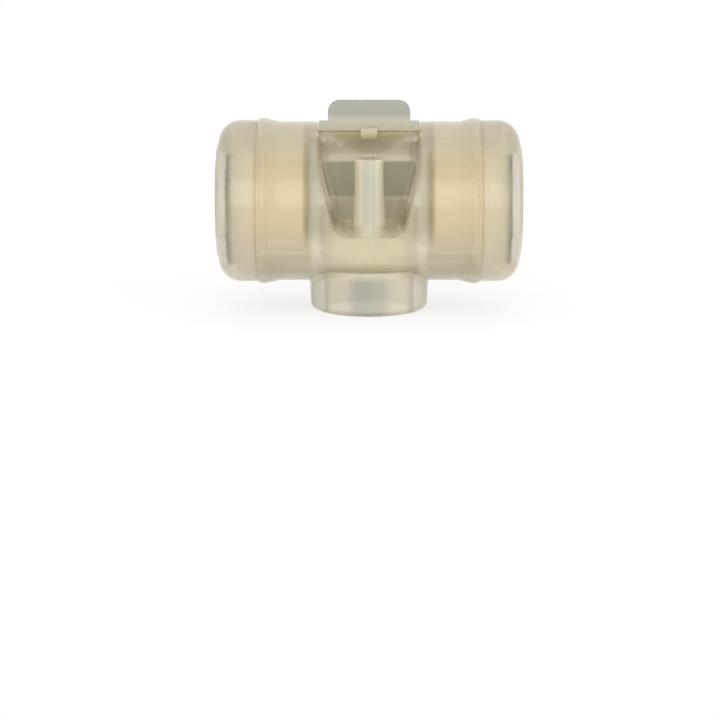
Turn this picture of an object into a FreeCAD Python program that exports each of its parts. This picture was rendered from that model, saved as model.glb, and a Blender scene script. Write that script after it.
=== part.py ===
import FreeCAD, Part
import math
import os

from FreeCAD import Vector

# Heat and moisture exchanger for a breathing tube, in millimetres.
# The origin is the centre of the patient socket's mouth. X runs along the tube,
# the front with its pocket looks towards -Y, and +Z points up to the suction port.

# Housing: the lying tube
tube_radius = 13.8
tube_wall = 2.7
tube_half_length = 19.2
bead_length = 4.0
bead_peak_in = 1.0
bead_height = 0.57
bead_end_drop = 0.15
bead_ease_share = 0.4
bead_end_share = 0.6

# Housing: the patient port, with the socket for a 15 mm connector
port_drop = 5.0
port_foot_radius = 10.25
port_draft = 0.03
port_foot_round = 1.2
port_root_round = 0.6
port_root_reach = 0.1
socket_radius = 7.65
socket_depth = 13.6
socket_stop = 0.3
socket_lead = 0.4
sleeve_wall = 1.0
sleeve_top_drop = 0.9

# Housing: the flared pocket in the front
pocket_back = 4.4
pocket_sill_half = 8.5
pocket_lean = 14.5
pocket_floor_drop = 3.0
pocket_side_flare = 8.1
pocket_floor_fall = 10.7
pocket_back_corner = 1.5
pocket_front_corner = 2.6
pocket_wall = 1.2
pocket_rim_round = 0.35
sill_drop = 0.35

# Housing: the oxygen nipple that stands in the pocket
nipple_forward = 8.75
nipple_tip_rise = 8.55
nipple_tip_radius = 2.5
nipple_land = 4.0
nipple_foot_radius = 2.95
nipple_foot_round = 0.35
nipple_tip_round = 0.4
nipple_bore = 1.0
nipple_outlet = 3.0

# Housing: the suction well under the lid
well_half = 7.6
well_length = 8.2
well_corner = 1.6
well_wall = 1.0
well_front_wall = 1.8
well_skirt = 5.3
lid_bed = 1.25

# End caps
cap_proud = 0.2
cap_wall = 1.8
cap_length = 7.1
cap_shoulder = 3.8
cap_edge_step = 0.2
cap_seam = 0.1
spigot_length = 2.3
spigot_gap = 0.1
snap_rise = 0.4
snap_half = 0.6
snap_crest = 0.25
snap_gap = 0.12
cap_lip = 0.8
cap_mouth_bevel = 0.4
cap_core_share = 0.3
grille_depth = 2.4
grille_thickness = 1.2
grille_hub = 1.7
grille_ring = 4.6
grille_bar = 0.9
grille_spokes = 6
grille_root = 0.3

# Paper rolls in the caps' holders
holder_wall = 1.2
holder_relief = 0.9
holder_length = 12.7
holder_lip = 0.3
spigot_bevel = 0.4
roll_gap = 0.1
roll_end_gap = 0.1
roll_core = 1.3
roll_turns = 5
paper = 0.3
flute_pitch = 2.1
flute_start = 0.35
flute_paper = 0.24
flute_bite = 0.075

# Lid of the suction port
lid_half = 8.7
lid_thickness = 1.35
lid_proud = 0.2
lid_gap = 0.2
lid_bar_rise = 0.6
lid_bar_thickness = 1.2
lid_bar_corner = 0.5
lid_lip = 1.0
tab_half = 7.05
tab_rise = 4.2
tab_corner = 2.0
tab_edge_round = 0.35
catch_half = 1.4
catch_length = 1.6
catch_thickness = 0.5
catch_gap = 0.4
catch_root = 0.2
catch_toe_round = 0.3
plug_gap = 0.3
plug_wall = 1.0
plug_depth = 4.1
plug_belly = 8.2
plug_core_corner = 0.3

# Hinge at the back of the lid
hinge_back = 9.2
hinge_pin_radius = 0.7
hinge_pin_gap = 0.06
hinge_barrel_radius = 1.2
hinge_barrel_half = 4.0
hinge_ear_gap = 0.2
hinge_ear_thickness = 1.4
hinge_ear_radius = 1.5
hinge_room = 0.4
hinge_rise = 0.1
hinge_foot_share = 0.6
hinge_root_share = 0.3

# Places that follow from the sizes
axis_z = tube_radius + port_drop
bore_radius = tube_radius - tube_wall
cap_radius = tube_radius + cap_proud
lid_radius = tube_radius + lid_proud
bed_radius = tube_radius - lid_bed
well_front = -pocket_back + well_front_wall
well_back = well_front + well_length
sill_level = axis_z + math.sqrt(tube_radius**2 - pocket_back**2) - sill_drop
spigot_radius = bore_radius - spigot_gap
holder_radius = spigot_radius - holder_relief - holder_wall
roll_radius = holder_radius - roll_gap
cap_mouth_radius = roll_radius - cap_lip
bead_peak = tube_half_length - bead_peak_in
cap_end = tube_half_length + cap_length
grille_outer = cap_end - grille_depth
grille_inner = grille_outer - grille_thickness
hinge_radius = tube_radius + hinge_rise
hinge_up = axis_z + math.sqrt(hinge_radius**2 - hinge_back**2)
far = 3 * tube_radius
run_out = 2.0
overlap = 0.01
hair = 1e-9

X_AXIS = Vector(1, 0, 0)
Y_AXIS = Vector(0, 1, 0)
Z_AXIS = Vector(0, 0, 1)
TUBE_AXIS_POINT = Vector(0, 0, axis_z)


def line(a, b):
    return Part.LineSegment(a, b).toShape()


def arc(a, middle, b):
    return Part.Arc(a, middle, b).toShape()


def bezier(*poles):
    curve = Part.BezierCurve()
    curve.setPoles(list(poles))
    return curve.toShape()


def run_through(points):
    """Straight edges from point to point."""
    return [line(a, b) for a, b in zip(points, points[1:])]


def polygon_face(points):
    return Part.Face(Part.makePolygon(points + points[:1]))


def box(x0, x1, y0, y1, z0, z1):
    return Part.makeBox(x1 - x0, y1 - y0, z1 - z0, Vector(x0, y0, z0))


def along_x(radius, x0, x1, y=0, z=axis_z):
    return Part.makeCylinder(radius, x1 - x0, Vector(x0, y, z), X_AXIS)


def turned(edges, point, axis):
    """Solid of revolution of a closed run of edges."""
    return Part.Face(Part.Wire(edges)).revolve(point, axis, 360)


def at_tube(x, radius):
    """Point of the section that is turned about the tube's axis."""
    return Vector(x, 0, axis_z + radius)


def upright(x0, x1, y0, y1, corner, z0, z1):
    """Prism along Z with rounded corners."""
    prism = box(x0, x1, y0, y1, z0, z1)
    edges = [e for e in prism.Edges if abs(e.tangentAt(e.FirstParameter).z) > 0.99]
    return prism.makeFillet(corner, edges)


# Housing

def tube_outside():
    """Tube with a snap bead bulging at each end."""
    peak = tube_radius + bead_height
    rim = peak - bead_end_drop
    foot = tube_half_length - bead_length
    ease = bead_ease_share * (bead_peak - foot)
    edges = []
    for side in (-1, 1):
        start = at_tube(side * foot, tube_radius)
        top = at_tube(side * bead_peak, peak)
        end = at_tube(side * tube_half_length, rim)
        edges.append(bezier(
            start,
            at_tube(side * (foot + ease), tube_radius),
            at_tube(side * (bead_peak - ease), peak),
            top,
        ))
        brow = at_tube(side * (bead_peak + bead_end_share * bead_peak_in), peak)
        edges.append(bezier(top, brow, end))
        edges.append(line(end, at_tube(side * tube_half_length, 0)))
    edges.append(line(at_tube(-foot, tube_radius), at_tube(foot, tube_radius)))
    edges.append(line(at_tube(-tube_half_length, 0), at_tube(tube_half_length, 0)))
    return turned(Part.__sortEdges__(edges), TUBE_AXIS_POINT, X_AXIS)


def snap_ring(radius, grow):
    """Bevelled ring at the right end of the tube: the cap's ridge, or its groove when grown."""
    half = snap_half + grow
    crest = snap_crest + grow
    low = radius - 0.5 * spigot_gap
    high = radius + snap_rise + grow
    corners = [
        at_tube(bead_peak - half, low),
        at_tube(bead_peak - crest, high),
        at_tube(bead_peak + crest, high),
        at_tube(bead_peak + half, low),
    ]
    return polygon_face(corners).revolve(TUBE_AXIS_POINT, X_AXIS, 360)


def tube_inside():
    bore = along_x(bore_radius, -tube_half_length - run_out, tube_half_length + run_out)
    groove = snap_ring(spigot_radius, snap_gap)
    return bore.fuse([groove, groove.mirror(Vector(), X_AXIS)])


def port_outside():
    """Drafted foot of the patient port, up into the tube."""
    top = port_drop + tube_wall
    foot = Vector(port_foot_radius, 0, port_foot_round)
    shoulder = Vector(port_foot_radius + port_draft * top, 0, top)
    centre = foot - Vector(port_foot_round, 0, 0)
    diagonal = port_foot_round * math.sqrt(0.5)
    edges = [
        line(Vector(), centre - Vector(0, 0, port_foot_round)),
        arc(centre - Vector(0, 0, port_foot_round), centre + Vector(diagonal, 0, -diagonal), foot),
        line(foot, shoulder),
        line(shoulder, Vector(0, 0, top)),
        line(Vector(0, 0, top), Vector()),
    ]
    return turned(edges, Vector(), Z_AXIS)


def port_sleeve():
    """Inner end of the socket's wall, which stands in the tube."""
    top = axis_z - sleeve_top_drop
    low = port_drop + 0.5 * tube_wall
    return Part.makeCylinder(socket_radius + sleeve_wall, top - low, Vector(0, 0, low), Z_AXIS)


def socket():
    """Socket with a lead at its mouth and a stop for the connector's end, up into the tube."""
    lead = Part.makeCone(socket_radius + socket_lead, socket_radius, socket_lead)
    seat = Part.makeCylinder(socket_radius, socket_depth)
    throat = Part.makeCylinder(socket_radius - socket_stop, axis_z)
    return lead.fuse([seat, throat])


def floor_level(y):
    """Level of the pocket's floor, which falls towards the front."""
    return axis_z - pocket_floor_drop + math.tan(math.radians(pocket_floor_fall)) * (y + pocket_back)


def pocket_outline(y, grow):
    """Rounded trapezoid of the pocket in the plane y, or of its walls when grown."""
    depth = -y - pocket_back
    lean = math.radians(pocket_lean)
    foot_half = pocket_sill_half - math.tan(lean) * (sill_level - floor_level(-pocket_back))
    foot_half += math.tan(math.radians(pocket_side_flare)) * depth
    share = depth / (tube_radius - pocket_back)
    corner = pocket_back_corner + share * (pocket_front_corner - pocket_back_corner) + grow
    low = floor_level(y) - grow
    half = foot_half - math.tan(lean) * grow + grow / math.cos(lean)
    high = axis_z + far / 2
    run = corner / math.tan((math.pi / 2 + lean) / 2)
    middle = -(math.pi / 2 + lean) / 2
    points = []
    for side in (1, -1):
        centre_x = half - run
        middle_x = centre_x + corner * math.cos(middle)
        middle_z = low + corner + corner * math.sin(middle)
        points.append([
            Vector(side * centre_x, y, low),
            Vector(side * middle_x, y, middle_z),
            Vector(side * (half + run * math.sin(lean)), y, low + run * math.cos(lean)),
            Vector(side * (half + math.tan(lean) * (high - low)), y, high),
        ])
    right, left = points
    return Part.Wire([
        line(left[0], right[0]),
        arc(right[0], right[1], right[2]),
        line(right[2], right[3]),
        line(right[3], left[3]),
        line(left[3], left[2]),
        arc(left[2], left[1], left[0]),
    ])


def pocket(grow=0.0):
    """Flared pocket, open to the front and the top, or the block of its walls when grown."""
    front = pocket_outline(-tube_radius - run_out, grow)
    back = pocket_outline(-pocket_back + grow, grow)
    return Part.makeLoft([front, back], True, True)


def nipple():
    """Oxygen nipple with a straight end on a tapered foot, down through the pocket's floor."""
    tip = nipple_tip_rise
    shoulder = tip - nipple_tip_round
    land = shoulder - nipple_land
    foot = -bore_radius
    taper = (nipple_foot_radius - nipple_tip_radius) / (land + pocket_floor_drop)
    foot_radius = nipple_tip_radius + taper * (land - foot)
    middle = nipple_tip_round * (1 - math.sqrt(0.5))

    def at(radius, rise):
        return Vector(radius, -nipple_forward, axis_z + rise)

    edges = run_through([
        at(0, tip),
        at(0, foot),
        at(foot_radius, foot),
        at(nipple_tip_radius, land),
        at(nipple_tip_radius, shoulder),
    ])
    edges.append(arc(
        at(nipple_tip_radius, shoulder),
        at(nipple_tip_radius - middle, tip - middle),
        at(nipple_tip_radius - nipple_tip_round, tip),
    ))
    edges.append(line(at(nipple_tip_radius - nipple_tip_round, tip), at(0, tip)))
    return turned(edges, Vector(0, -nipple_forward, 0), Z_AXIS)


def well_block():
    """Chimney of the suction well, hanging in the tube behind the pocket."""
    level = sill_level - well_skirt
    block = upright(
        -well_half - well_wall, well_half + well_wall,
        -pocket_back, well_back + well_wall,
        well_corner + well_wall, level, axis_z + tube_radius,
    )
    return block.common(along_x(0.5 * (bore_radius + bed_radius), -tube_radius, tube_radius))


def well():
    return upright(-well_half, well_half, well_front, well_back, well_corner, axis_z, axis_z + far)


def at_angle(radius, angle):
    """Point in the lid's section, at an angle from the top towards the back."""
    return Vector(0, radius * math.sin(angle), axis_z + radius * math.cos(angle))


def lid_section(front, inner, outer, end_angle):
    """Section of the lid's shell, or of the bed cut for it, from a plane at the front to an angle."""
    start_low = math.asin(front / inner)
    start_high = math.asin(front / outer)
    low = [at_angle(inner, a) for a in (start_low, 0.5 * (start_low + end_angle), end_angle)]
    high = [at_angle(outer, a) for a in (start_high, 0.5 * (start_high + end_angle), end_angle)]
    return Part.Wire([arc(*low), line(low[2], high[2]), arc(*reversed(high)), line(high[0], low[0])])


def across(wire, half):
    """Prism of a section, from -half to half along X."""
    return Part.Face(wire).extrude(2 * half * X_AXIS).translated(-half * X_AXIS)


def hinge_angle(beyond):
    """Angle from the top to a place so far behind the hinge's axis, along the tube's skin."""
    return math.asin(hinge_back / hinge_radius) + beyond / hinge_radius


def lid_bed_cut():
    """Bed of the lid: a strip of the tube's skin, and a flat on the sill in front of it."""
    end = hinge_angle(hinge_barrel_radius + hinge_room)
    strip = across(lid_section(well_front, bed_radius, 0.5 * far, end), lid_half + lid_gap)
    flat = box(
        -lid_half - lid_gap, lid_half + lid_gap, -tube_radius, well_front + overlap,
        sill_level - 0.5 * lid_gap, axis_z + far,
    )
    return strip.fuse(flat)


def hinge_ear(side):
    """Ear of the hinge, with the hole that the lid's stub pin snaps into."""
    inner = hinge_barrel_half + hinge_ear_gap
    x0 = min(side * inner, side * (inner + hinge_ear_thickness))
    x1 = x0 + hinge_ear_thickness
    eye = along_x(hinge_ear_radius, x0, x1, hinge_back, hinge_up)
    foot = box(
        x0, x1, hinge_back - hinge_ear_radius, hinge_back + hinge_ear_radius,
        axis_z + hinge_foot_share * bore_radius, hinge_up,
    )
    root = along_x(bore_radius + hinge_root_share * tube_wall, x0, x1)
    spine = foot.common(along_x(hinge_radius, x0, x1)).cut(root)
    return eye.fuse(spine)


def hinge_hole():
    reach = 2 * hinge_barrel_half + hinge_ear_thickness
    return along_x(hinge_pin_radius + hinge_pin_gap, -reach, reach, hinge_back, hinge_up)


def outside():
    """Tube, beads and patient port as one block, with the pocket cut in and its rim rounded."""
    plain_half = tube_half_length - bead_length
    middle = box(-plain_half, plain_half, -far, far, -far, far)
    trunk = along_x(tube_radius, -plain_half, plain_half).fuse(port_outside())
    trunk = trunk.makeFillet(port_root_round, [e for e in trunk.Edges if is_port_root(e)])
    trunk = trunk.cut(pocket())
    trunk = trunk.makeFillet(pocket_rim_round, [e for e in trunk.Edges if is_pocket_rim(e)])
    return trunk.fuse(tube_outside().cut(middle))


def hollow():
    """Room in the tube and the port, round the pocket's walls, the well's chimney and the sleeve."""
    room = tube_inside().cut(port_sleeve()).fuse(socket())
    return room.cut([pocket(pocket_wall), well_block()])


def housing():
    shell = outside().cut([hollow(), lid_bed_cut(), well()])
    body = shell.fuse(nipple().common(pocket(pocket_wall))).removeSplitter()
    body = body.makeFillet(nipple_foot_round, [e for e in body.Edges if is_nipple_foot(e)])
    outlet = axis_z - pocket_floor_drop - nipple_outlet
    drill = Part.makeCylinder(nipple_bore, far, Vector(0, -nipple_forward, outlet), Z_AXIS)
    ears = [hinge_ear(side) for side in (-1, 1)]
    return body.cut(drill).fuse(ears).cut(hinge_hole()).removeSplitter()


def sampled(edge):
    """Points along an edge, near its ends and at its middle."""
    first, last = edge.FirstParameter, edge.LastParameter
    return [edge.valueAt(first + share * (last - first)) for share in (0.1, 0.5, 0.9)]


def is_on_skin(p):
    return abs(math.hypot(p.y, p.z - axis_z) - tube_radius) < overlap


def is_port_root(edge):
    """True for the curve where the patient port meets the tube."""
    for p in sampled(edge):
        port = port_foot_radius + port_draft * (p.z - port_foot_round)
        if not is_on_skin(p) or abs(math.hypot(p.x, p.y) - port) > port_root_reach:
            return False
    return True


def is_pocket_rim(edge):
    """True for the curves where the pocket's sides and floor meet the tube's skin."""
    for p in sampled(edge):
        if not is_on_skin(p) or p.y > -pocket_back - overlap or p.z < floor_level(p.y) - overlap:
            return False
    return True


def is_nipple_foot(edge):
    """True for the curve where the nipple stands on the pocket's floor."""
    for p in sampled(edge):
        reach = math.hypot(p.x, p.y + nipple_forward)
        if abs(p.z - floor_level(p.y)) > overlap or reach > 2 * nipple_tip_radius:
            return False
    return True


# End caps

def cap_section():
    """Section of the right end cap: shouldered cup, spigot with its snap ridge, and roll holder."""
    seat = tube_half_length + cap_seam
    holder_outer = holder_radius + holder_wall
    holder_end = grille_inner - holder_length
    step_x = tube_half_length - spigot_length
    face_x = cap_end - cap_edge_step
    shoulder_x = face_x - cap_shoulder
    shoulder_r = cap_radius - cap_shoulder
    diagonal = cap_shoulder * math.sqrt(0.5)
    disc_r = shoulder_r - 2 * cap_edge_step
    core_x = shoulder_x + cap_core_share * cap_shoulder
    core_r = cap_radius - cap_wall
    edges = run_through([
        at_tube(grille_inner, holder_radius),
        at_tube(holder_end + 2 * holder_lip, holder_radius),
        at_tube(holder_end + holder_lip, holder_radius - holder_lip),
        at_tube(holder_end, holder_radius - holder_lip),
        at_tube(holder_end, holder_outer),
        at_tube(step_x, holder_outer),
        at_tube(step_x, spigot_radius - spigot_bevel),
        at_tube(step_x + spigot_bevel, spigot_radius),
        at_tube(core_x, spigot_radius),
        at_tube(core_x, core_r),
        at_tube(seat, core_r),
        at_tube(seat, cap_radius),
        at_tube(shoulder_x, cap_radius),
    ])
    edges.append(arc(
        at_tube(shoulder_x, cap_radius),
        at_tube(shoulder_x + diagonal, shoulder_r + diagonal),
        at_tube(face_x, shoulder_r),
    ))
    return edges + run_through([
        at_tube(face_x, shoulder_r),
        at_tube(face_x, disc_r + cap_edge_step),
        at_tube(cap_end, disc_r),
        at_tube(cap_end, cap_mouth_radius + cap_mouth_bevel),
        at_tube(cap_end - cap_mouth_bevel, cap_mouth_radius),
        at_tube(grille_inner, cap_mouth_radius),
        at_tube(grille_inner, holder_radius),
    ])


def grille():
    """Hub, ring and spokes across the cap's mouth."""
    hub = along_x(grille_hub, grille_inner, grille_outer)
    ring = along_x(grille_ring + grille_bar, grille_inner, grille_outer).cut(
        along_x(grille_ring, grille_inner, grille_outer)
    )
    spoke = box(
        grille_inner, grille_outer, -0.5 * grille_bar, 0.5 * grille_bar,
        axis_z + 0.5 * grille_hub, axis_z + cap_mouth_radius + grille_root,
    )
    spokes = [
        spoke.rotated(TUBE_AXIS_POINT, X_AXIS, i * 360 / grille_spokes)
        for i in range(grille_spokes)
    ]
    return hub.fuse([ring] + spokes)


def end_cap():
    cup = turned(cap_section(), TUBE_AXIS_POINT, X_AXIS)
    return cup.fuse([snap_ring(spigot_radius, 0.0), grille()]).removeSplitter()


# Paper rolls

def turn_pitch():
    return (roll_radius - paper - roll_core) / roll_turns


def wound_radius(angle):
    """Distance from the roll's axis to the inner face of the paper, as it winds outwards."""
    pitch = turn_pitch()
    turns, rest = divmod(angle, 2 * math.pi)
    if rest <= math.pi:
        return roll_core + turns * pitch
    offset = 0.5 * pitch
    radius = roll_core + (turns + 0.5) * pitch
    return offset * math.cos(rest) + math.sqrt(radius**2 - (offset * math.sin(rest)) ** 2)


def in_roll(radius, angle):
    return Vector(0, radius * math.cos(angle), axis_z + radius * math.sin(angle))


def wound_face():
    """The plain paper: a spiral of half circles."""
    inner = []
    outer = []
    for half_turn in range(2 * roll_turns):
        start = half_turn * math.pi
        angles = (start + hair, start + 0.5 * math.pi, start + math.pi - hair)
        inner.append([in_roll(wound_radius(a), a) for a in angles])
        outer.append([in_roll(wound_radius(a) + paper, a) for a in angles])
    edges = []
    for run in (inner, outer):
        for i, points in enumerate(run):
            if i:
                points[0] = run[i - 1][2]
            edges.append(arc(*points))
    edges.append(line(inner[0][0], outer[0][0]))
    edges.append(line(inner[-1][2], outer[-1][2]))
    return Part.Face(Part.Wire(Part.__sortEdges__(edges)))


def fluted_face():
    """The corrugated paper between the turns: a zigzag that follows the spiral."""
    pitch = turn_pitch()
    half = 0.5 * flute_paper
    limit = roll_radius - paper
    low_side = []
    high_side = []
    angle = flute_start
    up = False
    while True:
        radius = wound_radius(angle)
        floor = radius + paper
        roof = min(radius + pitch, limit)
        if roof - floor < 2 * flute_paper:
            break
        middle = roof - half + flute_bite if up else floor + half - flute_bite
        low_side.append(in_roll(middle - half, angle))
        high_side.append(in_roll(middle + half, angle))
        angle += 0.5 * flute_pitch / (radius + 0.5 * pitch)
        up = not up
    return polygon_face(low_side + high_side[::-1])


def paper_roll():
    far_end = grille_inner - roll_end_gap
    near_end = grille_inner - holder_length + 2 * holder_lip + roll_end_gap
    length = far_end - near_end
    rim = along_x(roll_radius, 0, length).cut(along_x(roll_radius - paper, 0, length))
    windings = [face.extrude(length * X_AXIS) for face in (wound_face(), fluted_face())]
    return rim.fuse(windings).removeSplitter().translated(near_end * X_AXIS)


# Lid of the suction port

def lid_shell():
    """Curved plate that lies in the bed and reaches the hinge barrel behind."""
    inner = lid_radius - lid_thickness
    front = well_front + lid_gap
    wide_end = hinge_angle(-hinge_ear_radius - hinge_room)
    wide = across(lid_section(front, inner, lid_radius, wide_end), lid_half)
    root = across(lid_section(0.5 * well_back, inner, lid_radius, hinge_angle(0)), hinge_barrel_half)
    lip_level = sill_level + 0.5 * lid_gap
    lip = box(-lid_half, lid_half, -pocket_back, front + lid_lip, lip_level, axis_z + far)
    lip = lip.common(along_x(lid_radius, -lid_half, lid_half))
    return wide.fuse([root, lip])


def lid_tab():
    """Upright front bar of the lid with the thumb tab on it."""
    low = sill_level + 0.5 * lid_gap
    shoulder = axis_z + tube_radius + lid_bar_rise
    top = axis_z + tube_radius + tab_rise
    back = lid_bar_thickness - pocket_back
    bar = box(-lid_half, lid_half, -pocket_back, back, low, shoulder)
    bar = bar.makeFillet(lid_bar_corner, [e for e in bar.Edges if is_top_corner(e, shoulder)])
    tab = box(-tab_half, tab_half, -pocket_back, back, low, top)
    tab = tab.makeFillet(tab_corner, [e for e in tab.Edges if is_top_corner(e, top)])
    plate = bar.fuse(tab).removeSplitter()
    return plate.makeFillet(tab_edge_round, [e for e in plate.Edges if is_tab_brow(e, top)])


def is_tab_brow(edge, top):
    """True for the edges round the tab's upper part, on its front and back faces."""
    bounds = edge.BoundBox
    above_bar = bounds.ZMin > axis_z + tube_radius - overlap
    return above_bar and bounds.ZMax > top - tab_corner - overlap and bounds.YLength < overlap


def is_top_corner(edge, level):
    """True for an edge along Y at the given level."""
    bounds = edge.BoundBox
    along_y = bounds.YLength > 0.5 * lid_bar_thickness
    return along_y and abs(bounds.ZMin - level) < overlap and bounds.ZLength < overlap


def catch():
    """Small tongue of the lid that hangs over the pocket's back wall."""
    low = sill_level - catch_length
    high = sill_level + lid_bar_rise
    back = -pocket_back - catch_gap
    front = back - catch_thickness
    tongue = box(-catch_half, catch_half, front, back, low, high)
    neck_level = sill_level + 0.5 * lid_gap
    neck = box(-catch_half, catch_half, front, catch_root - pocket_back, neck_level, high)
    whole = tongue.fuse(neck).removeSplitter()
    toe = []
    for edge in whole.Edges:
        bounds = edge.BoundBox
        if bounds.YMax < front + overlap and bounds.XLength > catch_half:
            toe.append(edge)
    return whole.makeFillet(catch_toe_round, toe)


def plug():
    """Skirt under the lid that fills the suction well, with a round belly."""
    half = well_half - plug_gap
    front = well_front + plug_gap
    back = well_back - plug_gap
    corner = well_corner - plug_gap
    low = sill_level - plug_depth
    under = lid_radius - 0.5 * lid_thickness
    top = axis_z + lid_radius
    solid = upright(-half, half, front, back, corner, axis_z, top)
    hollow = upright(
        -half + plug_wall, half - plug_wall, front + plug_wall, back - plug_wall,
        max(corner - plug_wall, plug_core_corner), axis_z, top,
    )
    belly = Part.makeCylinder(plug_belly, far, Vector(0, -0.5 * far, low + plug_belly), Y_AXIS)
    skirt = solid.cut(hollow).common(belly)
    return skirt.common(along_x(under, -far, far))


def hinge_barrel():
    """Barrel behind the lid, with a stub pin at each end."""
    barrel = along_x(hinge_barrel_radius, -hinge_barrel_half, hinge_barrel_half, hinge_back, hinge_up)
    reach = hinge_barrel_half + hinge_ear_gap + hinge_ear_thickness
    pins = along_x(hinge_pin_radius, -reach, reach, hinge_back, hinge_up)
    return barrel.fuse(pins)


def suction_port_lid():
    return lid_shell().fuse([lid_tab(), catch(), plug(), hinge_barrel()]).removeSplitter()


def mirrored(shape):
    return shape.mirror(Vector(), X_AXIS)


os.makedirs("parts", exist_ok=True)
right_cap = end_cap()
right_roll = paper_roll()
pieces = {
    "housing": housing(),
    "end_cap_right": right_cap,
    "end_cap_left": mirrored(right_cap),
    "paper_roll_right": right_roll,
    "paper_roll_left": mirrored(right_roll),
    "suction_port_lid": suction_port_lid(),
}
for name, shape in pieces.items():
    solid, = shape.Solids
    print(name, "valid", solid.isValid(), "volume", round(solid.Volume, 1))
    solid.exportStep(os.path.join("parts", name + ".step"))
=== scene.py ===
import math

import bpy
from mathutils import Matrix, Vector


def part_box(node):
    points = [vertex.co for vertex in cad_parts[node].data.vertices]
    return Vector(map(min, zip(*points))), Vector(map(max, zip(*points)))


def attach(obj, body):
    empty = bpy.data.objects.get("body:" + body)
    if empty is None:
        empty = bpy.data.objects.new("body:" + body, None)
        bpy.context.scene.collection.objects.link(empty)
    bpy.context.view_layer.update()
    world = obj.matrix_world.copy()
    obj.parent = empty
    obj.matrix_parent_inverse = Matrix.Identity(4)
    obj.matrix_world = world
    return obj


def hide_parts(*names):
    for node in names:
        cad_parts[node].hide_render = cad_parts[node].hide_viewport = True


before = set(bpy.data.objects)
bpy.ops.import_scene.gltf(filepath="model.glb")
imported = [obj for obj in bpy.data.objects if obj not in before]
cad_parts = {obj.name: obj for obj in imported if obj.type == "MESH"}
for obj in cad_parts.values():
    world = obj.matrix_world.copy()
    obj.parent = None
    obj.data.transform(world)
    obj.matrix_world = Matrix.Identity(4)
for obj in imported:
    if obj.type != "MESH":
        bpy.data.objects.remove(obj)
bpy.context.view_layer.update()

MM = 0.001

# The camera: how far from the tube's middle, how high above it, and where the tube's middle
# lies in the picture, counted from the picture's centre in pixels to the right and up.
TUBE_MIDDLE = Vector((0, 0, 18.8 * MM))
CAMERA_DISTANCE = 411 * MM
CAMERA_HEIGHT = 8.5
PICTURE = 720
FOCAL_PIXELS = 2350
MIDDLE_RIGHT = 9.1
MIDDLE_UP = 159.2

# Paper rolls: the first turn's radius, the turns, the flutes and the paper itself.
ROLL_CORE = 0.9 * MM
TURN_PITCH = 0.96 * MM
ROLL_WRAP = 8.73 * MM
FLUTED_TURNS = 7.1
ROLL_TURNS = 9.0
STEPS_A_TURN = 60
FLUTE_PITCH = 1.45 * MM
FLUTE_HEIGHT = 0.46 * MM
PAPER = 0.11 * MM

# How much of a lamp's light goes straight through a wall of the plastic.
LAMPLIGHT_SHARE = 0.95

# How much a colour drifts over the plastic, and how far the edges of the painted refraction bands
# on the open ends and on the port stray from a straight line.
DRIFT_SHARE = 0.3
END_STRAY = 0.5 * MM
PORT_STRAY = 0.6 * MM

# The fine line that the mould's halves leave on the housing, in a plane across the tube: a
# raised relief, painted near-white along it as a painted highlight.
SEAM_PLACE = 0.3 * MM
SEAM_HALF = 0.13 * MM
SEAM_RELIEF = 0.01 * MM
SEAM_HIGHLIGHT_SHARE = 0.5


def edge(place, soft):
    """Where a zone ends, in millimetres, and the distance over which it fades."""
    return (place * MM, soft * MM)


# Where the plastic is cloudiest: on the port, round the nipple, and past the beads on the caps,
# with their grilles. The tube's wall and the walls inside it cover less of what is behind them.
PORT_TOP = edge(8, 2)
NIPPLE_PLACE = -8.75 * MM
NIPPLE_REACH = edge(3.4, 0.2)
NIPPLE_FOOT = edge(13.6, 0.3)
CAP_MOUTH = edge(19.4, 0.4)
GRILLE_FROM = edge(22.5, 0.2)
FLAT_END = edge(9.8, 0.8)
WALL_FROM = edge(11.9, 0.5)
LID_PLATE_FROM = edge(30.2, 0.4)

# Painted shade: the hollow behind the pocket's back wall is painted dark, and keeps some of that
# painted shade below its low edge.
HOLLOW_HALF = edge(8.2, 0.3)
HOLLOW_BACK = edge(-3.0, 0.2)
HOLLOW_FRONT = edge(-4.9, 0.2)
HOLLOW_LOW = edge(20.0, 0.4)
HOLLOW_HIGH = edge(26.3, 0.2)
BELOW_HOLLOW = 0.55

# Painted shade on the lining of the chamber between the rolls, and on the walls beside the pocket.
LINING_RADIUS = edge(12.9, 0.2)
LINING_HALF = edge(11.4, 0.5)
BESIDE_FROM = edge(7.2, 1.4)
BESIDE_LOW = edge(12.5, 4)
BESIDE_BACK = edge(0, 4)

# The cloudy front of the tube under the pocket, and the milky foot of the pocket itself, which is
# also painted lighter as painted light.
VEIL_HALF = edge(11, 5)
VEIL_HIGH = edge(16, 4)
VEIL_FRONT = edge(-8.5, 2)
VEIL_SHARE = 0.75
FOOT_LEVEL = edge(16.4, 0.5)
FOOT_HALF = edge(7, 2)
SKIN_RADIUS = edge(13.4, 0.2)

# Round the object the floor takes its shadow; further out it fades into plain white.
FLOOR_WHITE_FROM = edge(60, 140)
FLOOR_WHITE_SHARE = 0.72


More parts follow.
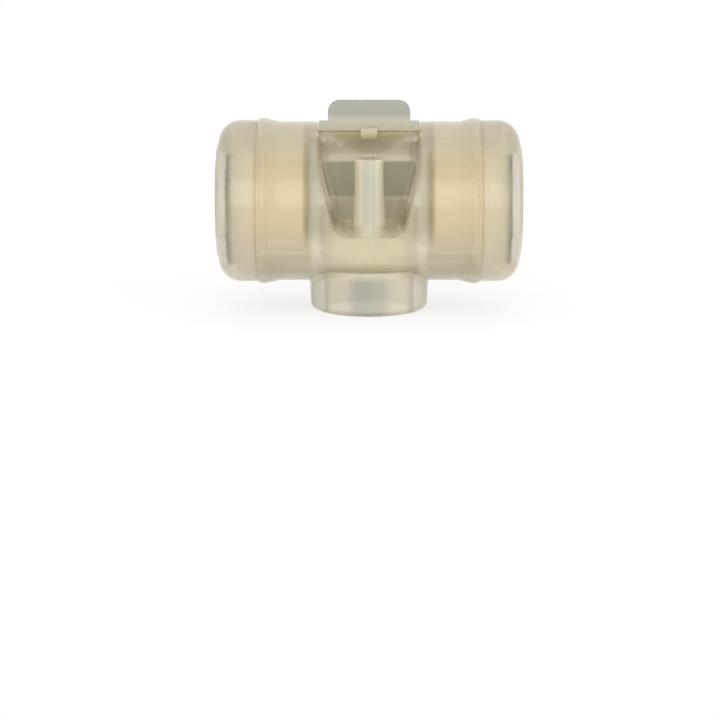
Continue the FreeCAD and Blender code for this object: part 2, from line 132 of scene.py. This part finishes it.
class Amount:
    """A node's output, so that sums on it are written as expressions."""

    def __init__(self, finish, socket):
        self.finish = finish
        self.socket = socket

    def sum(self, operation, *values):
        return self.finish.node("ShaderNodeMath", {"operation": operation}, dict(enumerate(values)))

    def __add__(self, other):
        return self.sum("ADD", self, other)

    def __radd__(self, other):
        return self.sum("ADD", other, self)

    def __sub__(self, other):
        return self.sum("SUBTRACT", self, other)

    def __rsub__(self, other):
        return self.sum("SUBTRACT", other, self)

    def __mul__(self, other):
        return self.sum("MULTIPLY", self, other)

    def __rmul__(self, other):
        return self.sum("MULTIPLY", other, self)

    def __truediv__(self, other):
        return self.sum("DIVIDE", self, other)

    def __rtruediv__(self, other):
        return self.sum("DIVIDE", other, self)

    def __pow__(self, other):
        return self.sum("POWER", self, other)

    def __abs__(self):
        return self.sum("ABSOLUTE", self)

    def clamped(self):
        return self.finish.node("ShaderNodeClamp", {}, {0: self})


class Finish:
    """A material under its name, and one method that adds its nodes."""

    def __init__(self, name):
        self.material = bpy.data.materials.new(name)
        self.material.use_nodes = True
        self.nodes = self.material.node_tree.nodes
        self.links = self.material.node_tree.links
        self.nodes.clear()
        self.output = self.nodes.new("ShaderNodeOutputMaterial")
        self.place = self.node("ShaderNodeTexCoord", output="Object")

    def node(self, kind, settings=(), inputs=(), output=0):
        """Adds a node: its settings first, then the values or links of its sockets."""
        made = self.nodes.new(kind)
        for name, value in dict(settings).items():
            if name == "stops":
                stops = made.color_ramp.elements
                while len(stops) < len(value):
                    stops.new(0.5)
                for stop, (position, colour) in zip(stops, value):
                    stop.position = position
                    stop.color = colour
            else:
                setattr(made, name, value)
        for name, value in dict(inputs).items():
            if isinstance(value, Amount):
                self.links.new(value.socket, made.inputs[name])
            else:
                made.inputs[name].default_value = value
        return Amount(self, made.outputs[output])

    def stretched(self, x, y, z):
        """The surface's own place, in metres, scaled along each axis."""
        return self.node("ShaderNodeMapping", {}, {"Vector": self.place, "Scale": (x, y, z)})

    def noise(self, place, scale, detail=2.0, roughness=0.5):
        return self.node(
            "ShaderNodeTexNoise",
            {},
            {"Vector": place, "Scale": scale, "Detail": detail, "Roughness": roughness},
        )

    def blend(self, share, first, second):
        """A colour between two colours."""
        return self.node(
            "ShaderNodeMix", {"data_type": "RGBA"}, {0: share, 6: first, 7: second}, output=2
        )

    def bump(self, height, depth, normal=None):
        """Normals of a relief so many metres deep."""
        inputs = {"Height": height, "Distance": depth, "Strength": 1.0}
        if normal:
            inputs["Normal"] = normal
        return self.node("ShaderNodeBump", {}, inputs)

    def show(self, shader):
        self.links.new(shader.socket, self.output.inputs["Surface"])
        return self.material


def colour(red, green, blue):
    """A colour written as it shows on a screen, from 0 to 255."""
    def linear(value):
        value /= 255
        return value / 12.92 if value <= 0.04045 else ((value + 0.055) / 1.055) ** 2.4

    return (linear(red), linear(green), linear(blue), 1.0)


def ramp(f, along, tints):
    """Colours at given distances, blended in between."""
    low, high = tints[0][0], tints[-1][0]
    stops = [((level - low) / (high - low), tint) for level, tint in tints]
    return f.node("ShaderNodeValToRGB", {"stops": stops}, {0: (along - low) / (high - low)})


def past(place, limit):
    """0 before the edge of a zone and 1 past it."""
    start, soft = limit
    return ((place - start) / soft).clamped()


def short_of(place, limit):
    """1 before the edge of a zone and 0 past it."""
    end, soft = limit
    return ((end - place) / soft).clamped()


class Spot:
    """Where a point of the plastic lies: across, forward and in height, how far out to the side,
    how far above the tube's axis, and how far from it."""

    def __init__(self, f):
        self.across, self.forward, self.height = [
            f.node("ShaderNodeSeparateXYZ", {}, {0: f.place}, output=axis) for axis in "XYZ"
        ]
        self.out = abs(self.across)
        self.rise = self.height - TUBE_MIDDLE.z
        self.radius = (self.forward * self.forward + self.rise * self.rise) ** 0.5


def housing_zones(f, at, tone):
    """The tints of the housing's port, nipple, pocket and chamber, which are painted light and
    shade:
    refraction bands on the port and nipple, shade in the hollow, on the lining and beside the
    pocket, and a lighter foot; and where it is cloudiest.
    """
    port = short_of(at.height, PORT_TOP)
    beside = at.forward - NIPPLE_PLACE
    aside = (at.across * at.across + beside * beside) ** 0.5
    nipple = short_of(aside, NIPPLE_REACH) * past(at.height, NIPPLE_FOOT)
    in_hollow = past(at.height, HOLLOW_LOW) * (1 - BELOW_HOLLOW) + BELOW_HOLLOW
    hollow_shade = (
        short_of(at.out, HOLLOW_HALF)
        * short_of(at.forward, HOLLOW_BACK)
        * past(at.forward, HOLLOW_FRONT)
        * in_hollow
        * short_of(at.height, HOLLOW_HIGH)
    )
    lining_shade = short_of(at.radius, LINING_RADIUS) * short_of(at.out, LINING_HALF) * (1 - port)
    shade_beside_pocket = (
        past(at.out, BESIDE_FROM)
        * short_of(at.out, LINING_HALF)
        * past(at.height, BESIDE_LOW)
        * short_of(at.forward, BESIDE_BACK)
    )
    veil = (
        short_of(at.out, VEIL_HALF)
        * short_of(at.height, VEIL_HIGH)
        * short_of(at.forward, VEIL_FRONT)
    )
    foot_painted_light = (
        short_of(at.height, FOOT_LEVEL)
        * short_of(at.out, FOOT_HALF)
        * short_of(at.forward, HOLLOW_BACK)
        * short_of(at.radius, SKIN_RADIUS)
    )
    # The port's bands are painted refraction, light and shade drawn by place, with edges that
    # wander.
    streak = f.noise(f.stretched(1, 1, 0.04), 2200, detail=2.0)
    painted_refraction = ramp(f, at.out + (streak - 0.5) * PORT_STRAY, PORT_PAINTED_REFRACTION)
    # Painted shade on the lining of the chamber.
    tone = f.blend(lining_shade * 0.5, tone, colour(162, 157, 132))
    # Painted shade on the walls beside the pocket.
    tone = f.blend(shade_beside_pocket * 0.85, tone, colour(158, 152, 124))
    # Painted refraction bands of light and shade on the port and on the nipple.
    tone = f.blend(port * 0.85, tone, painted_refraction)
    tone = f.blend(nipple * 0.85, tone, ramp(f, at.out, NIPPLE_PAINTED_REFRACTION))
    # Painted shade in the hollow behind the pocket's back wall.
    tone = f.blend(hollow_shade * 0.9, tone, colour(144, 146, 122))
    # Painted light: the pocket's foot is painted lighter.
    tone = f.blend(foot_painted_light * 0.9, tone, colour(228, 222, 200))
    return tone, (port + nipple + hollow_shade + foot_painted_light + veil * VEIL_SHARE).clamped()


def cap_zones(f, at, tone):
    """The painted refraction bands, with a painted highlight and painted shade, in a cap's open
    end, and its cloudy shoulder and grille.
    """
    wall = past(at.radius, WALL_FROM)
    # Painted refraction, highlight and shade in the open end, drawn by place, with edges that
    # wander.
    streak = f.noise(f.stretched(1, 1, 0.04), 2600, detail=2.0)
    painted_refraction = ramp(f, at.out + (streak - 0.5) * END_STRAY, END_PAINTED_REFRACTION)
    flat = short_of(abs(at.rise), FLAT_END) * wall
    shoulder = past(at.out, CAP_MOUTH) * wall
    cloudy = (shoulder + past(at.out, GRILLE_FROM)).clamped()
    return f.blend(flat * 0.95, tone, painted_refraction), cloudy


def lid_zones(f, at, tone):
    """The lid is clearer below its plate, on the catch and the plug."""
    return tone, past(at.height, LID_PLATE_FROM)


def mould_line(at):
    """The line that the mould's halves leave, which stops at the port."""
    line = 1 - (abs(at.across - SEAM_PLACE) / SEAM_HALF).clamped()
    return line * past(at.height, PORT_TOP)


def milky_plastic(name, tints, haze, clear, satin, depth, covers, zones, seam=False):
    """Milky polypropylene: a clear satin plastic with a cloudy share, deeper in colour where it
    is thick. The tint depends on the height, partly as painted shade that darkens the top, and each
    piece has its own zones, some of them painted light and shade. The covers are how much of what
    is behind it the surface hides: where it is cloudiest, on the tube's wall, and on walls inside."""
    f = Finish(name)
    at = Spot(f)
    flow = f.noise(f.stretched(1, 1, 0.35), 260, detail=3.0)
    cloud = f.noise(f.place, 90)
    peel = f.noise(f.place, 1100)
    tone, cloudy = zones(f, at, ramp(f, at.height, tints))
    cloudiest, on_wall, inside = covers
    cover = past(at.radius, WALL_FROM) * (on_wall - inside) + inside
    cover = cover * (1 - cloudy) + cloudy * cloudiest
    drift = ((flow - 0.5) * 0.8 + (cloud - 0.5) * 0.6 + 0.5).clamped()
    tone = f.blend(drift * DRIFT_SHARE, tone, haze)
    relief = f.bump(peel, 0.0008 * MM)
    if seam:
        # The mould line's relief is real; its near-white colour is a painted highlight.
        line = mould_line(at)
        tone = f.blend(line * SEAM_HIGHLIGHT_SHARE, tone, colour(252, 251, 246))
        relief = f.bump(line, SEAM_RELIEF, relief)
    plastic = f.node(
        "ShaderNodeBsdfPrincipled",
        {},
        {
            "Base Color": tone,
            "Roughness": satin + (flow - 0.5) * 0.06,
            "IOR": 1.49,
            "Transmission Weight": clear,
            "Alpha": cover,
            "Normal": relief,
        },
    )
    lamplight = f.node("ShaderNodeLightPath", output="Is Shadow Ray") * LAMPLIGHT_SHARE
    open_way = f.node("ShaderNodeBsdfTransparent", {}, {"Color": haze})
    depths = {"Color": (0.65, 0.58, 0.40, 1), "Density": depth}
    absorbed = f.node("ShaderNodeVolumeAbsorption", {}, depths)
    f.links.new(absorbed.socket, f.output.inputs["Volume"])
    return f.show(f.node("ShaderNodeMixShader", {}, {0: lamplight, 1: plastic, 2: open_way}))


def paper():
    """Uncoated paper, with its fibres."""
    f = Finish("uncoated paper")
    fibre = f.noise(f.stretched(0.4, 1, 1), 3000, detail=4.0, roughness=0.7)
    patch = f.noise(f.place, 240)
    tone = f.blend(
        (fibre * 0.6 + patch * 0.6 - 0.1).clamped(), colour(232, 203, 158), colour(247, 226, 190)
    )
    shader = f.node(
        "ShaderNodeBsdfPrincipled",
        {},
        {
            "Base Color": tone,
            "Roughness": 0.85,
            "Specular IOR Level": 0.2,
            "Normal": f.bump(fibre, 0.02 * MM),
        },
    )
    return f.show(shader)


def dress(node, material):
    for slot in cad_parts[node].material_slots:
        slot.material = material


# Painted refraction: bands of painted light and shade that stand in for what the hollow port, the
# hollow nipple and the open ends show, from the middle out.
PORT_PAINTED_REFRACTION = (
    (0.0 * MM, colour(174, 175, 168)),
    (2.2 * MM, colour(176, 177, 170)),
    (3.8 * MM, colour(214, 210, 198)),
    (6.6 * MM, colour(226, 222, 210)),
    (7.4 * MM, colour(196, 192, 180)),
    (7.9 * MM, colour(238, 235, 226)),
    (9.0 * MM, colour(232, 228, 216)),
    (9.9 * MM, colour(208, 204, 190)),
)
NIPPLE_PAINTED_REFRACTION = (
    (0.0 * MM, colour(214, 214, 206)),
    (0.8 * MM, colour(216, 216, 208)),
    (1.3 * MM, colour(252, 246, 230)),
    (3.4 * MM, colour(250, 242, 222)),
)
END_PAINTED_REFRACTION = (
    (21.0 * MM, colour(238, 233, 214)),
    (23.0 * MM, colour(222, 219, 204)),
    (23.7 * MM, colour(160, 159, 148)),
    (24.1 * MM, colour(118, 118, 108)),
    (24.5 * MM, colour(255, 255, 254)),
    (25.7 * MM, colour(250, 250, 249)),
    (26.5 * MM, colour(196, 195, 188)),
)

housing_plastic = milky_plastic(
    "housing polypropylene",
    # Darker towards the top: painted shade that offsets the light from above.
    (
        (3 * MM, colour(247, 246, 240)),
        (9 * MM, colour(248, 242, 216)),
        (22 * MM, colour(246, 239, 211)),
        (31 * MM, colour(226, 217, 184)),
    ),
    haze=colour(232, 224, 195), clear=0.54, satin=0.12, depth=52,
    covers=(1.0, 0.54, 0.38), zones=housing_zones, seam=True,
)
cap_plastic = milky_plastic(
    "end cap polypropylene",
    # Darker towards the top: painted shade that offsets the light from above.
    (
        (4 * MM, colour(244, 240, 222)),
        (20 * MM, colour(229, 223, 203)),
        (34 * MM, colour(214, 207, 184)),
    ),
    haze=colour(226, 219, 197), clear=0.62, satin=0.12, depth=46,
    covers=(0.78, 0.55, 0.22), zones=cap_zones,
)
lid_plastic = milky_plastic(
    "lid polypropylene",
    # Darker olive low on the catch below the plate: painted shade for the dark inside seen through
    # it. The grey of the tab is the lid's own grey plastic, partly painted shade.
    (
        (30.5 * MM, colour(192, 184, 146)),
        (31.4 * MM, colour(236, 228, 198)),
        (32.6 * MM, colour(220, 216, 198)),
        (34.5 * MM, colour(172, 172, 164)),
    ),
    haze=colour(202, 197, 176), clear=0.60, satin=0.18, depth=40,
    covers=(1.0, 0.6, 0.4), zones=lid_zones,
)
roll_paper = paper()
for node, material in (
    ("housing", housing_plastic),
    ("end_cap_left", cap_plastic),
    ("end_cap_right", cap_plastic),
    ("suction_port_lid", lid_plastic),
):
    dress(node, material)


# Paper rolls

def deselect():
    if bpy.context.object and bpy.context.object.mode != "OBJECT":
        bpy.ops.object.mode_set(mode="OBJECT")
    bpy.ops.object.select_all(action="DESELECT")


def pick(*pieces):
    """Selects these pieces alone; the last one is the active one."""
    deselect()
    for piece in pieces:
        piece.select_set(True)
        bpy.context.view_layer.objects.active = piece


def put_to_work(piece, name, kind, **settings):
    """Adds a modifier with its settings and applies it."""
    pick(piece)
    modifier = piece.modifiers.new(name, kind)
    for key, value in settings.items():
        setattr(modifier, key, value)
    bpy.ops.object.modifier_apply(modifier=name)


def apply_place(piece):
    pick(piece)
    bpy.ops.object.transform_apply(location=True, rotation=True, scale=True)


def select_points(piece, wanted):
    """Opens a piece for editing, with those points selected that are wanted."""
    pick(piece)
    bpy.ops.object.mode_set(mode="EDIT")
    bpy.ops.mesh.select_mode(type="VERT")
    bpy.ops.mesh.select_all(action="DESELECT")
    bpy.ops.object.mode_set(mode="OBJECT")
    for vertex in piece.data.vertices:
        vertex.select = wanted(vertex.co)
    bpy.ops.object.mode_set(mode="EDIT")


def winding_points(turns):
    """Places on the spiral that the paper is wound along, in the roll's own flat plane."""
    places = []
    for i in range(int(turns * STEPS_A_TURN) + 1):
        angle = 2 * math.pi * i / STEPS_A_TURN
        radius = min(ROLL_CORE + TURN_PITCH * i / STEPS_A_TURN, ROLL_WRAP)
        places.append(Vector((radius * math.cos(angle), radius * math.sin(angle), 0)))
    return places


def winding_length(turns):
    places = winding_points(turns)
    return sum((b - a).length for a, b in zip(places, places[1:]))


def winding_line():
    data = bpy.data.curves.new("winding_line", "CURVE")
    data.dimensions = "2D"
    line = data.splines.new("POLY")
    places = winding_points(ROLL_TURNS)
    line.points.add(len(places) - 1)
    for point, place in zip(line.points, places):
        point.co = (*place, 1)
    guide = bpy.data.objects.new("winding_line", data)
    bpy.context.scene.collection.objects.link(guide)
    return guide


def plain_strip(length, width):
    """The smooth paper, laid out flat with its edge along X."""
    deselect()
    bpy.ops.mesh.primitive_grid_add(
        x_subdivisions=int(length / (0.4 * FLUTE_PITCH)), y_subdivisions=6, size=1,
        location=(0.5 * length, 0, 0), rotation=(math.pi / 2, 0, 0),
    )
    strip = bpy.context.object
    strip.scale = (length, width, 1)
    apply_place(strip)
    return strip


def fluted_strip(length, width):
    """The corrugated paper: one flute is shaped and then repeated along the strip."""
    deselect()
    bpy.ops.mesh.primitive_grid_add(
        x_subdivisions=4, y_subdivisions=3, size=1,
        location=(0.5 * FLUTE_PITCH, 0, 0), rotation=(math.pi / 2, 0, 0),
    )
    strip = bpy.context.object
    strip.scale = (FLUTE_PITCH, width, 1)
    apply_place(strip)
    for share, lift in ((0.25, 1), (0.75, -1)):
        crest = share * FLUTE_PITCH
        select_points(strip, lambda point: abs(point.x - crest) < 0.05 * FLUTE_PITCH)
        bpy.ops.transform.translate(value=(0, lift * FLUTE_HEIGHT, 0))
        bpy.ops.object.mode_set(mode="OBJECT")
    put_to_work(
        strip, "repeat", "ARRAY", count=int(length / FLUTE_PITCH), use_relative_offset=True,
        relative_offset_displace=(1, 0, 0), use_merge_vertices=True, merge_threshold=0.02 * MM,
    )
    strip.location = (0, -0.5 * TURN_PITCH, 0)
    apply_place(strip)
    put_to_work(
        strip, "round off", "SUBSURF", levels=1, render_levels=1, boundary_smooth="PRESERVE_CORNERS"
    )
    return strip


def paper_roll(node):
    """Corrugated paper wound up with its smooth backing, to the size of the roll it stands for."""
    low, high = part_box(node)
    width = high[0] - low[0]
    guide = winding_line()
    backing = plain_strip(winding_length(ROLL_TURNS), width)
    flutes = fluted_strip(winding_length(FLUTED_TURNS), width - 0.1 * MM)
    for strip in (backing, flutes):
        put_to_work(strip, "wind", "CURVE", object=guide, deform_axis="POS_X")
        put_to_work(strip, "thicken", "SOLIDIFY", thickness=PAPER, offset=0)
    bpy.data.objects.remove(guide)
    pick(backing, flutes)
    bpy.ops.object.join()
    roll = bpy.context.object
    roll.name = "wound_" + node
    roll.rotation_euler = (0, math.pi / 2, 0)
    roll.location = [0.5 * (a + b) for a, b in zip(low, high)]
    apply_place(roll)
    pick(roll)
    bpy.ops.object.shade_smooth_by_angle(angle=math.radians(40))
    roll.data.materials.clear()
    roll.data.materials.append(roll_paper)
    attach(roll, "body")
    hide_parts(node)
    return roll


for node in ("paper_roll_left", "paper_roll_right"):
    paper_roll(node)


# Stage

def white_to_the_eye(name, surface):
    """A pale surface that shows as white itself, behind the object and in its gloss. Only the
    part round the object takes a shadow."""
    f = Finish(name)
    matt = f.node("ShaderNodeBsdfDiffuse", {}, {"Color": surface})
    bright = f.node("ShaderNodeEmission", {}, {"Color": (1, 1, 1, 1), "Strength": 1.0})
    rays = [
        f.node("ShaderNodeLightPath", output=kind)
        for kind in ("Is Camera Ray", "Is Glossy Ray", "Is Transmission Ray")
    ]
    seen = (rays[0] + rays[1] + rays[2]).clamped()
    apart = f.node("ShaderNodeVectorMath", {"operation": "LENGTH"}, {0: f.place}, output="Value")
    away = past(apart, FLOOR_WHITE_FROM)
    plain = seen * (away * (1 - FLOOR_WHITE_SHARE) + FLOOR_WHITE_SHARE)
    return f.show(f.node("ShaderNodeMixShader", {}, {0: plain, 1: matt, 2: bright}))


bpy.ops.object.select_all(action="DESELECT")
bpy.ops.mesh.primitive_plane_add(size=8.0, location=(0, 0, 0))
floor = bpy.context.object
floor.name = "pale_floor"
floor.data.materials.append(white_to_the_eye("pale floor", (0.92, 0.92, 0.9, 1)))

world = bpy.data.worlds.new("studio")
bpy.context.scene.world = world
world.use_nodes = True
world.node_tree.nodes["Background"].inputs["Color"].default_value = (1, 1, 1, 1)
world.node_tree.nodes["Background"].inputs["Strength"].default_value = 0.95


def soft_lamp(name, place, aim, width, height, power):
    bpy.ops.object.light_add(type="AREA", location=place)
    lamp = bpy.context.object
    lamp.name = name
    lamp.data.shape = "RECTANGLE"
    lamp.data.size = width
    lamp.data.size_y = height
    lamp.data.energy = power
    away = Vector(place) - Vector(aim)
    lamp.rotation_euler = away.to_track_quat("Z", "Y").to_euler()
    return lamp


soft_lamp("front_softbox", (-0.22, -0.88, 0.33), TUBE_MIDDLE, 1.0, 0.64, 3.3)
soft_lamp("side_softbox", (0.70, -0.50, 0.30), TUBE_MIDDLE, 0.8, 0.55, 2.1)
soft_lamp("top_softbox", (0.0, 0.25, 0.9), TUBE_MIDDLE, 0.9, 0.7, 0.6)


# Camera

def set_camera():
    low = math.radians(CAMERA_HEIGHT)
    back = Vector((0, -math.cos(low), math.sin(low)))
    place = TUBE_MIDDLE + CAMERA_DISTANCE * back
    pitch = low + math.atan(MIDDLE_UP / FOCAL_PIXELS)
    turn = math.atan(MIDDLE_RIGHT / FOCAL_PIXELS)
    bpy.ops.object.camera_add(location=place)
    camera = bpy.context.object
    camera.name = "camera"
    camera.rotation_euler = (math.pi / 2 - pitch, 0, turn)
    camera.data.sensor_width = 36
    camera.data.lens = camera.data.sensor_width * FOCAL_PIXELS / PICTURE
    camera.data.clip_start = 0.01
    camera.data.clip_end = 50
    bpy.context.scene.camera = camera


set_camera()
bpy.context.scene.view_settings.view_transform = "Standard"
